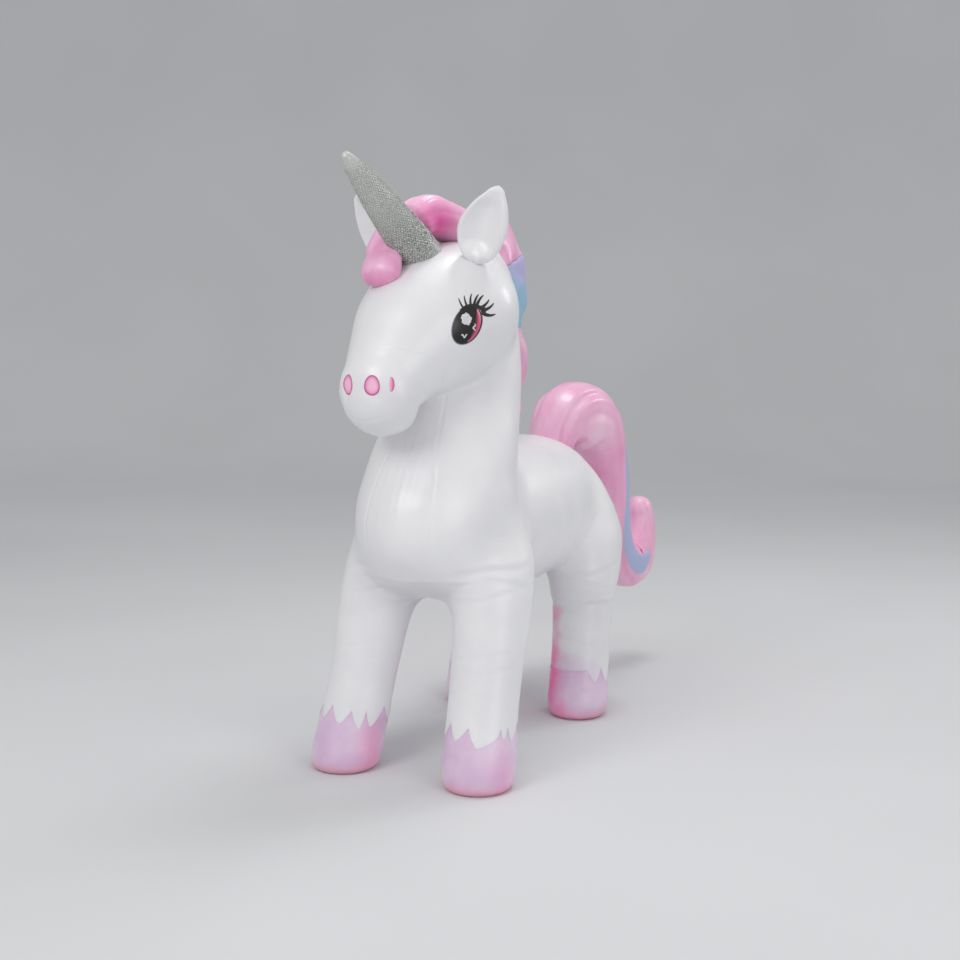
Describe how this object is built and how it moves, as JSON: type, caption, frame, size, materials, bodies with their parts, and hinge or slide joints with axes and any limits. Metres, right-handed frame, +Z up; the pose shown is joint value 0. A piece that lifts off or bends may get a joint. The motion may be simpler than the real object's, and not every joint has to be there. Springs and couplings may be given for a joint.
{
  "type": "standing inflatable unicorn",
  "caption": "Free-standing inflatable unicorn for the pool in welded film panels, with a horn, ears, mane, curled tail, four tubular legs and capped air valves.",
  "frame": {"origin": "on the floor, under the middle of the whole object's box", "axes": "+Z up; the animal faces -Y and its left side is +X"},
  "size_m": [0.5286, 1.5644, 1.4305],
  "materials": {
    "white_film": "satin PVC film, heat welded",
    "pink_film": "satin PVC film with airbrushed magenta shading",
    "blue_film": "satin PVC film",
    "hoof_film": "satin PVC film, lavender shading to pink",
    "sole_film": "satin PVC film",
    "inner_film": "plain PVC film",
    "horn_film": "silver film with pressed sequin dots",
    "eye_print": "gloss ink print",
    "nostril_print": "ink print",
    "white_valve": "moulded soft PVC",
    "pink_valve": "moulded soft PVC",
    "flap_film": "thin soft PVC"
  },
  "bodies": {
    "root": {"torso_left_panel": "white_film", "torso_right_panel": "white_film", "chest_gusset": "white_film", "neck_left_panel": "white_film", "neck_right_panel": "white_film", "head_left_panel": "white_film", "head_right_panel": "white_film", "muzzle_panel": "white_film", "horn": "horn_film", "ear_left_front": "white_film", "ear_left_back": "white_film", "ear_right_front": "white_film", "ear_right_back": "white_film", "forelock_roll": "pink_film", "forelock_crest": "pink_film", "mane_top": "pink_film", "mane_blue": "blue_film", "mane_middle": "pink_film", "mane_bottom": "pink_film", "tail_arch": "pink_film", "tail_drop": "pink_film", "tail_curl": "pink_film", "front_left_leg": "white_film", "front_right_leg": "white_film", "rear_left_leg": "white_film", "rear_right_leg": "white_film", "front_left_hoof": "hoof_film", "front_right_hoof": "hoof_film", "rear_left_hoof": "hoof_film", "rear_right_hoof": "hoof_film", "front_left_sole": "sole_film", "front_right_sole": "sole_film", "rear_left_sole": "sole_film", "rear_right_sole": "sole_film", "eye_left": "eye_print", "eye_right": "eye_print", "nostril_prints": "nostril_print", "neck_bulkhead": "inner_film", "tail_bulkhead": "inner_film", "body_valve_flange": "white_valve", "body_valve_stem": "white_valve", "head_valve_flange": "white_valve", "tail_valve_flange": "pink_valve"},
    "body_flap": {"body_valve_flap": "flap_film"},
    "body_cap": {"body_valve_cap": "white_valve"},
    "head_stem": {"head_valve_stem": "white_valve"},
    "head_flap": {"head_valve_flap": "flap_film"},
    "head_cap": {"head_valve_cap": "white_valve"},
    "tail_stem": {"tail_valve_stem": "pink_valve"},
    "tail_flap": {"tail_valve_flap": "flap_film"},
    "tail_cap": {"tail_valve_cap": "pink_valve"}
  },
  "joints": [
    {"name": "body_cap_hinge", "type": "hinge", "parent": "root", "child": "body_cap", "pos_m": [-0.2101, -0.098, 0.598], "axis": [0, 1, 0], "range_deg": [0, 135]},
    {"name": "body_flap_hinge", "type": "hinge", "parent": "root", "child": "body_flap", "pos_m": [-0.1826, -0.098, 0.5906], "axis": [0, -1, 0], "range_deg": [0, 60]},
    {"name": "head_stem_push", "type": "slide", "parent": "root", "child": "head_stem", "axis": [1, 0, 0], "range_m": [0, 0.009]},
    {"name": "head_cap_hinge", "type": "hinge", "parent": "head_stem", "child": "head_cap", "pos_m": [-0.1751, -0.37, 0.875], "axis": [0, 1, 0], "range_deg": [0, 135]},
    {"name": "head_flap_hinge", "type": "hinge", "parent": "head_stem", "child": "head_flap", "pos_m": [-0.1476, -0.37, 0.8676], "axis": [0, -1, 0], "range_deg": [0, 60]},
    {"name": "tail_stem_push", "type": "slide", "parent": "root", "child": "tail_stem", "axis": [0.9781, -0.2079, 0], "range_m": [0, 0.009]},
    {"name": "tail_cap_hinge", "type": "hinge", "parent": "tail_stem", "child": "tail_cap", "pos_m": [-0.06761, 0.37852, 0.851], "axis": [0.2079, 0.9781, 0], "range_deg": [0, 135]},
    {"name": "tail_flap_hinge", "type": "hinge", "parent": "tail_stem", "child": "tail_flap", "pos_m": [-0.04072, 0.37281, 0.8436], "axis": [-0.2079, -0.9781, 0], "range_deg": [0, 60]}
  ]
}
